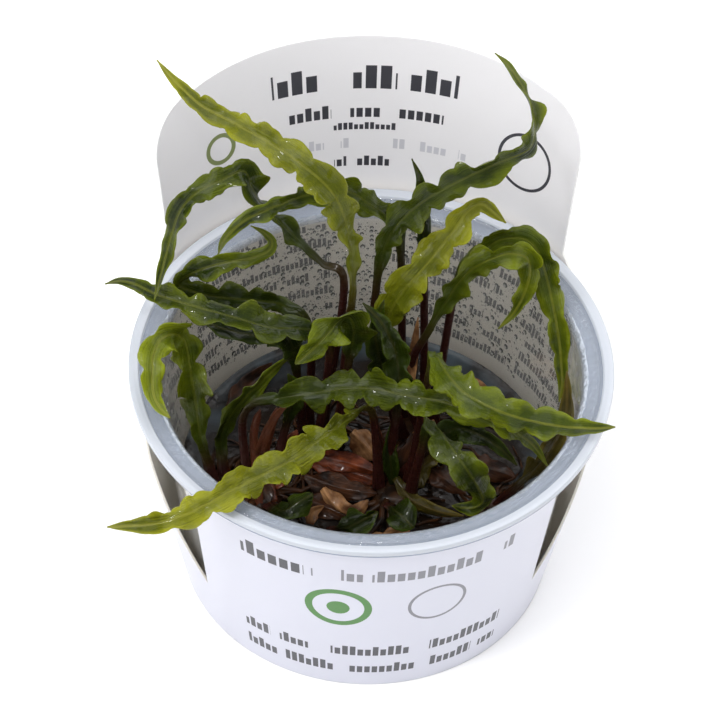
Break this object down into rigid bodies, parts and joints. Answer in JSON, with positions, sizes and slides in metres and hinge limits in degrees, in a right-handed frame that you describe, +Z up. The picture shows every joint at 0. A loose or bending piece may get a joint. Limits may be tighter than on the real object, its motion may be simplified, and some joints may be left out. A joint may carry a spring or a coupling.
{
  "type": "potted aquarium plant",
  "caption": "Ruffled-leaf aquarium crypt growing in nutrient gel in a clear cup, held by a white card sleeve with a tall back panel.",
  "frame": {"origin": "middle of the cup's flat underside", "axes": "+Z up, the sleeve's low front band faces -Y, +X to the right of a viewer in front"},
  "size_m": [0.1054, 0.1093, 0.1102],
  "materials": {
    "clear_plastic": "clear moulded cup with a glossy wall",
    "white_card": "smooth coated card",
    "blue_grey_gel": "wet clear gel over a shaded base",
    "crown_brown": "damp brown crown",
    "leaf_bright": "wet glossy young leaf",
    "leaf_mid": "wet glossy leaf",
    "leaf_dark": "wet glossy shaded leaf",
    "leaf_olive": "wet glossy olive leaf",
    "stalk_wine": "wet wine-brown stalk",
    "dead_tan": "soft tan dead leaf",
    "dead_rust": "soft rust-brown dead leaf",
    "dead_brown": "dark brown leaf sunk in the gel"
  },
  "bodies": {
    "root": {"cup": "clear_plastic", "nutrient_gel": "blue_grey_gel", "card_sleeve": "white_card", "crown_front": "crown_brown", "crown_back": "crown_brown", "crown_middle_left": "crown_brown", "crown_left": "crown_brown", "crown_wall_left": "crown_brown", "crown_right": "crown_brown", "leaf_tall_left": "leaf_bright", "leaf_arched_left": "leaf_mid", "leaf_level_left": "leaf_mid", "leaf_folded_back": "leaf_mid", "leaf_far_left": "leaf_mid", "leaf_under_left": "leaf_dark", "leaf_broad_middle": "leaf_mid", "leaf_low_left": "leaf_dark", "leaf_over_rim_left": "leaf_bright", "leaf_over_rim_right": "leaf_bright", "leaf_across_middle": "leaf_mid", "leaf_drooping_right": "leaf_mid", "leaf_hooked": "leaf_bright", "leaf_low_wall_left": "leaf_mid", "leaf_arched_right": "leaf_mid", "leaf_hanging_right": "leaf_mid", "leaf_tall_right": "leaf_mid", "leaf_yellow_right": "leaf_bright", "leaf_upright_back": "leaf_dark", "leaf_dark_behind": "leaf_dark", "leaf_dark_middle": "leaf_dark", "leaf_shaded_right": "leaf_dark", "leaf_wall_right": "leaf_olive", "leaf_small_left": "leaf_dark", "leaf_small_middle": "leaf_dark", "leaf_small_front": "leaf_dark", "stalk_left_brown": "stalk_wine", "stalk_left_wine": "stalk_wine", "dead_leaf_tan": "dead_tan", "dead_stalk_red": "dead_rust", "dead_leaf_right": "dead_rust", "dead_stalk_front": "dead_rust", "dead_leaf_curled": "dead_tan", "dead_leaf_back": "dead_tan", "dead_leaf_wall_left": "dead_brown", "dead_strip_front": "dead_tan"}
  },
  "joints": []
}
